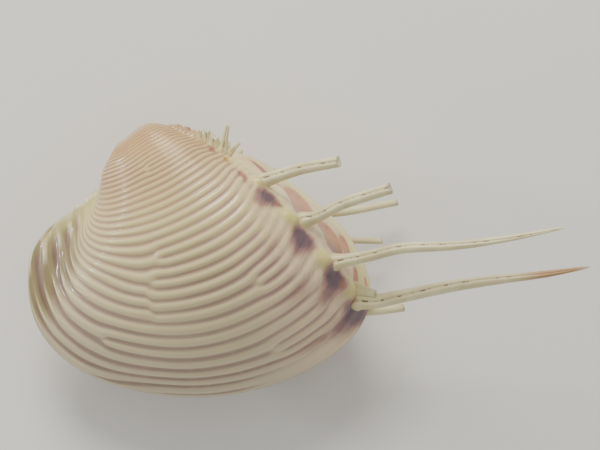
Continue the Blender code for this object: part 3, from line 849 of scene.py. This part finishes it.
class Finish:
    """A material being made: its node method takes a node type, its settings, then its sockets."""

    def __init__(self, name):
        self.material = bpy.data.materials.new(name)
        self.material.use_nodes = True
        self.tree = self.material.node_tree
        self.shader = self.tree.nodes["Principled BSDF"]

    def node(self, kind, settings, sockets):
        made = self.tree.nodes.new(kind)
        for key, value in settings.items():
            setattr(made, key, value)
        for key, value in sockets.items():
            self.feed(made.inputs[key], value)
        return made

    def feed(self, socket, value):
        if isinstance(value, Number):
            value = value.socket
        if isinstance(value, bpy.types.NodeSocket):
            self.tree.links.new(value, socket)
        else:
            socket.default_value = value

    def weights(self, names):
        nodes = [self.node("ShaderNodeAttribute", {"attribute_name": name}, {}) for name in names.split()]
        return [Number(self, node.outputs["Fac"]) for node in nodes]

    def place(self):
        return self.node("ShaderNodeTexCoord", {}, {}).outputs["Object"]

    def growth_place(self, around, back):
        """The growth map's coordinates, stretched: lines of equal growth run along the first one."""
        uv = self.node("ShaderNodeUVMap", {"uv_map": "growth"}, {}).outputs[0]
        return self.node("ShaderNodeMapping", {}, {"Vector": uv, "Scale": (around, back, 1.0)}).outputs[0]

    def share_towards_beak(self):
        """How far back towards the beak a point lies, from 0 at the margin to 1."""
        uv = self.node("ShaderNodeUVMap", {"uv_map": "growth"}, {}).outputs[0]
        return Number(self, self.node("ShaderNodeSeparateXYZ", {}, {0: uv}).outputs[1])

    def table(self, value, stops):
        """Colour read from stops, each a place from 0 to 1 and a colour."""
        node = self.node("ShaderNodeValToRGB", {}, {0: value})
        ramp = node.color_ramp
        for number, (place, shade) in enumerate(stops):
            stop = ramp.elements[number] if number < 2 else ramp.elements.new(place)
            stop.position = place
            stop.color = colour(*shade)
        return node.outputs[0]

    def noise(self, vector, scale, detail, roughness=0.55):
        node = self.node("ShaderNodeTexNoise", {}, {"Vector": vector, "Scale": scale, "Detail": detail,
                                                    "Roughness": roughness})
        return Number(self, node.outputs[0])

    def blend(self, factor, first, second, mode="MIX"):
        sockets = {0: factor, 6: first, 7: second}
        return self.node("ShaderNodeMix", {"data_type": "RGBA", "blend_type": mode}, sockets).outputs[2]

    def paint(self, base, layers):
        """Layers over a base colour, each a factor and a colour, the last one on top."""
        for factor, shade in layers:
            base = self.blend(factor, base, colour(*shade))
        return base

    def bump(self, height, strength, distance):
        node = self.node("ShaderNodeBump", {}, {"Strength": strength, "Distance": distance, "Height": height})
        return node.outputs[0]

    def set(self, **sockets):
        for key, value in sockets.items():
            self.feed(self.shader.inputs[key.replace("_", " ")], value)
        return self.material


def colour(red, green, blue):
    return (red, green, blue, 1.0)


def shell_finish():
    """Cream ribs over pinkish tan grooves, violet stains by the spines, yellow knobs, pink panels."""
    f = Finish("shell")
    groove, lean, thread, lip, knob, panel, stain = f.weights("groove lean thread lip knob panel stain")
    spot, ochre, bruise, rust, rim, ridge = f.weights("spot ochre bruise rust rim ridge")
    front, lunule, shoulder, bald, slope = f.weights("front lunule shoulder bald hind")
    hindward, inside = f.weights("hindward inside")
    place = f.place()
    cloud = f.noise(place, 160.0, 3.0)
    mottle = f.noise(place, 900.0, 4.0, 0.6)
    lines = f.noise(f.growth_place(9.0, 260.0), 1.0, 3.0, 0.6)
    rays = f.noise(f.growth_place(70.0, 5.0), 1.0, 2.0)

    beak_share = f.share_towards_beak()
    # Crest and groove colours from the margin (0) to the beak (0.6). The darker stops at the margin are
    # partly the shell's tone and partly painted shade, where the margin turns away from the light.
    crest = f.table(beak_share, ((0.0, (0.53, 0.45, 0.31)), (0.14, (0.63, 0.54, 0.31)), (0.34, (0.65, 0.55, 0.26)),
                            (0.45, (0.60, 0.415, 0.195)), (0.60, (0.54, 0.335, 0.13))))
    low = f.table(beak_share, ((0.0, (0.29, 0.215, 0.16)), (0.14, (0.37, 0.26, 0.20)), (0.34, (0.54, 0.38, 0.22)),
                          (0.45, (0.36, 0.215, 0.11)), (0.60, (0.28, 0.14, 0.055))))
    crest = f.paint(crest, (
        # The two hindward layers are partly the shell's paler cream and partly painted light: the crests
        # there are painted brighter than the lamps make them.
        (hindward * (1 - beak_share.ramp(0.14, 0.30)), (0.76, 0.60, 0.36)),
        (hindward * beak_share.ramp(0.16, 0.36), (0.86, 0.70, 0.32)),
        (hindward * rays.ramp(0.35, 0.7) * 0.45, (0.60, 0.44, 0.33)),
        (cloud.ramp(0.45, 0.75) * 0.3, (0.70, 0.60, 0.33)),
    ))
    low = f.blend(hindward * 0.8, low, colour(0.40, 0.22, 0.215))
    low = f.blend(rays.ramp(0.45, 0.75) * 0.5, low, colour(0.42, 0.27, 0.22))
    depth = (groove + (lines - 0.5) * 0.25).ramp(0.38, 0.95)
    base = f.blend(depth, crest, low)
    # Thread crests blended towards pale cream: partly their own paler colour, partly a painted highlight on
    # the glossy threads.
    base = f.blend(thread.ramp(0.4, 0.95) * 0.3, base, colour(0.80, 0.70, 0.50))
    base = f.blend(bald * 0.8, base, colour(0.46, 0.385, 0.23))
    # Front flank: narrow bright cream crest tops over dark ochre grooves. The bright tops are partly the
    # shell's cream and partly a painted highlight along the crests.
    flank = f.blend(groove.ramp(0.03, 0.26), colour(0.66, 0.58, 0.34), colour(0.27, 0.215, 0.098))
    flank = f.blend(groove.ramp(0.40, 0.95), flank, colour(0.175, 0.105, 0.068))
    flank = f.blend(lean.ramp(0.6, 0.95) * 0.7, flank, colour(0.22, 0.13, 0.125))
    base = f.blend(front, base, flank)
    base = f.paint(base, (
        (shoulder * 0.85, (0.39, 0.335, 0.14)),
        (lunule * 0.85, (0.60, 0.54, 0.19)),
        (lip.ramp(0.10, 0.75) * 0.85, (0.56, 0.50, 0.22)),
        (lip.ramp(0.80, 0.98) * 0.5, (0.74, 0.69, 0.46)),
        (slope * 0.9, (0.72, 0.60, 0.34)),
        (rays.ramp(0.45, 0.8) * slope * 0.35, (0.66, 0.46, 0.30)),
        (rim * 0.9, (0.80, 0.72, 0.32)),
        (ridge * 0.8, (0.80, 0.66, 0.42)),
        (knob.ramp(0.05, 0.5) * 0.9, (0.66, 0.60, 0.21)),
    ))
    salmon = f.blend(cloud.ramp(0.35, 0.65), colour(0.47, 0.205, 0.125), colour(0.55, 0.29, 0.16))
    salmon = f.blend(bruise, salmon, colour(0.30, 0.15, 0.15))
    base = f.blend((panel + (lines - 0.5) * 0.3 * panel).ramp(0.16, 0.42) * 0.95, base, salmon)
    dark = (stain + (mottle - 0.5) * 0.5 * stain + (lines - 0.5) * 0.7 * stain).clamp()
    base = f.paint(base, (
        ((ochre * 1.2).clamp(), (0.45, 0.28, 0.08)),
        ((spot + (cloud - 0.5) * 0.5 * spot).ramp(0.15, 0.8), (0.38, 0.17, 0.11)),
        (dark.ramp(0.04, 0.50), (0.36, 0.20, 0.165)),
        (dark.ramp(0.30, 0.85) * 0.95, (0.125, 0.075, 0.100)),
        (rust.ramp(0.10, 0.7) * 0.85, (0.26, 0.12, 0.075)),
    ))
    base = f.blend((lines - 0.5).ramp(-0.2, 0.2) * 0.12, base, colour(0.9, 0.86, 0.78), "MULTIPLY")
    base = f.blend(inside, base, colour(0.74, 0.70, 0.62))
    rough = 0.34 + (mottle - 0.5) * 0.14 + groove * 0.12 - front * 0.06
    height = lines * 0.6 + mottle * 0.4
    return f.set(Base_Color=base, Roughness=rough, Normal=f.bump(height, 0.35, 0.00012),
                 Specular_IOR_Level=0.5, Coat_Weight=0.35, Coat_Roughness=0.08)


def spine_finish(name, tipped):
    """Ivory, ochre at the root, with dark dashes along the seam and chalky broken ends.

    A tipped spine turns orange brown over its last two fifths.
    """
    f = Finish(name)
    seam, along, tip, root, broken = f.weights("seam along tip root broken")
    place = f.place()
    cloud = f.noise(place, 220.0, 3.0)
    fine = f.noise(place, 1500.0, 3.0)
    rung = f.node("ShaderNodeCombineXYZ", {}, {0: along}).outputs[0]
    dashes = f.noise(rung, 0.8, 1.5, 0.6)
    base = f.blend(cloud.ramp(0.35, 0.7), colour(0.74, 0.69, 0.41), colour(0.62, 0.55, 0.31))
    base = f.paint(base, (
        (root * 0.7, (0.64, 0.55, 0.24)),
        (seam.ramp(0.2, 0.9) * 0.35, (0.40, 0.30, 0.15)),
        (seam.ramp(0.45, 0.95) * dashes.ramp(0.50, 0.58) * 0.9, (0.10, 0.055, 0.03)),
        (broken * 0.8, (0.72, 0.69, 0.60)),
    ))
    rough = 0.42 + (fine - 0.5) * 0.2 + broken * 0.25
    if tipped:
        base = f.blend(tip.ramp(0.60, 0.84), base, colour(0.40, 0.23, 0.10))
        base = f.blend(tip.ramp(0.93, 0.99), base, colour(0.50, 0.38, 0.22))
    return f.set(Base_Color=base, Roughness=rough, Normal=f.bump(fine, 0.3, 0.00008), Coat_Weight=0.3,
                 Coat_Roughness=0.12)


def ligament_finish():
    """Dried horny strip: dark brown with lighter cracks."""
    f = Finish("ligament_horn")
    place = f.place()
    grain = f.noise(place, 1400.0, 5.0, 0.65)
    base = f.blend(grain.ramp(0.35, 0.7), colour(0.055, 0.025, 0.012), colour(0.20, 0.11, 0.05))
    return f.set(Base_Color=base, Roughness=0.5 + (grain - 0.5) * 0.3, Normal=f.bump(grain, 0.6, 0.0001))


def floor_finish():
    f = Finish("floor")
    grain = f.noise(f.place(), 40.0, 3.0)
    base = f.blend(grain, colour(0.74, 0.73, 0.71), colour(0.77, 0.76, 0.74))
    return f.set(Base_Color=base, Roughness=0.9 + grain * 0.02)


# ----------------------------------------------------------
# Putting it together
# ----------------------------------------------------------


def dress(piece, finish):
    """A piece rides on the shell's one body and wears its node's slot."""
    piece.data.materials.append(finish)
    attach(piece, "root")
    return piece


def build_shell():
    shell, ivory, tipped = shell_finish(), spine_finish("spine", False), spine_finish("spine_tipped", True)
    sides = (("left", 1, LEFT_SPINES, (LEFT_FORKS, True, 11)),
             ("right", -1, RIGHT_SPINES, (RIGHT_FORKS, False, 23)))
    for word, side, spines, facts in sides:
        node = word + "_valve"
        body = dress(valve(word + "_valve_shell", side, facts), shell)
        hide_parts(node)
        for number, (key, (place, turn, stations)) in enumerate(spines.items()):
            name = word + "_" + key
            look = tipped if name == "left_fourth" else ivory
            dress(spine(name, key, side, place, turn, stations, 100 * (side + 2) + number), look)
    strip = dress(ligament_strip(), ligament_finish())
    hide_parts("ligament")


CAMERA_DISTANCE = 0.42
CAMERA_TILT = REST_TURN_X - 3.0
VIEW_MIDDLE = (14.6, 5.1, 0.0)
VIEW_WIDTH = 0.0875


def build_camera():
    """Camera straight over the left valve, 3 degrees towards the beaks from square on the margin."""
    camera = bpy.data.cameras.new("camera")
    camera.sensor_width = 36.0
    camera.lens = camera.sensor_width * CAMERA_DISTANCE / VIEW_WIDTH
    camera.clip_start, camera.clip_end = 0.01, 10.0
    holder = bpy.data.objects.new("camera", camera)
    bpy.context.scene.collection.objects.link(holder)
    tilt = math.radians(CAMERA_TILT)
    middle = to_row(np.array([VIEW_MIDDLE]))[0]
    back = np.array([0.0, -math.sin(tilt), math.cos(tilt)])
    holder.location = middle + CAMERA_DISTANCE * back
    holder.rotation_euler = (tilt, 0.0, 0.0)
    bpy.context.scene.camera = holder


def area_light(name, place, aim, size, power, tint=(1.0, 1.0, 1.0)):
    light = bpy.data.lights.new(name, "AREA")
    light.shape = "DISK"
    light.size = size
    light.energy = power
    light.color = tint
    holder = bpy.data.objects.new(name, light)
    bpy.context.scene.collection.objects.link(holder)
    holder.location = place
    direction = np.array(place) - np.array(aim)
    holder.rotation_euler = (math.atan2(math.hypot(direction[0], direction[1]), direction[2]), 0.0,
                             math.atan2(direction[0], -direction[1]))


def build_studio():
    floor = mesh_object("floor", np.array([(-3, -3, 0), (3, -3, 0), (3, 3, 0), (-3, 3, 0)], float),
                        np.array([[0, 1, 2, 3]]), np.zeros((0, 3), int), {})
    floor.data.materials.append(floor_finish())
    area_light("key", (-0.09, 0.43, 0.41), (0, 0, 0.01), 0.30, 3.6, (1.0, 0.95, 0.86))
    area_light("glint", (-0.48, 0.08, 0.14), (0, 0, 0.01), 0.05, 0.75)
    world = bpy.data.worlds.new("studio")
    world.use_nodes = True
    sky = world.node_tree.nodes["Background"]
    sky.inputs["Color"].default_value = (1.0, 0.98, 0.94, 1.0)
    sky.inputs["Strength"].default_value = 0.65
    bpy.context.scene.world = world


build_shell()
build_camera()
build_studio()
